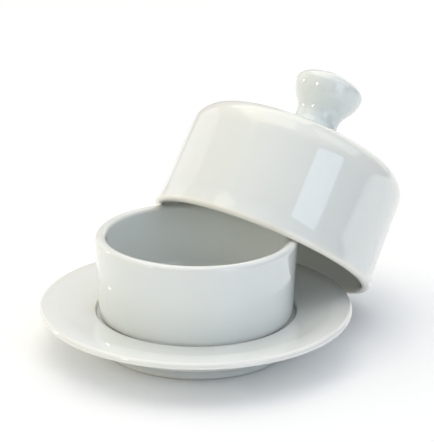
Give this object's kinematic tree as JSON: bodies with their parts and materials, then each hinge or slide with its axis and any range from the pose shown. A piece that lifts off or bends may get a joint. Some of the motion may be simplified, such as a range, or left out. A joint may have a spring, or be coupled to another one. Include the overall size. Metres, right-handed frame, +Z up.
{
  "type": "butter dish",
  "caption": "Round footed saucer with a straight-sided cup standing in its well and a knobbed cloche leaning on the cup's rim.",
  "frame": {"origin": "middle of the saucer's foot ring, in the plane that it stands on", "axes": "+Z up along the axis of the saucer and the cup; the cloche leans with its low side 51.2 degrees from +X towards +Y"},
  "size_m": [0.1803, 0.1905, 0.1202],
  "materials": {
    "glazed_porcelain_saucer": "glossy clear glaze over white porcelain, foot ring bare",
    "glazed_porcelain_cup": "glossy clear glaze over white porcelain, standing ring bare",
    "glazed_porcelain_cloche": "glossy clear glaze over white porcelain, inside and out, thin and warm on the rim"
  },
  "bodies": {
    "saucer": {"saucer": "glazed_porcelain_saucer"},
    "cup": {"cup": "glazed_porcelain_cup"},
    "cloche": {"lid": "glazed_porcelain_cloche", "lid_knob": "glazed_porcelain_cloche"}
  },
  "joints": [
    {"name": "cup_lift", "type": "slide", "parent": "saucer", "child": "cup", "axis": [0, 0, 1], "range_m": [0, 0.06]},
    {"name": "cloche_lift", "type": "slide", "parent": "cup", "child": "cloche", "axis": [0, 0, 1], "range_m": [0, 0.1]}
  ]
}
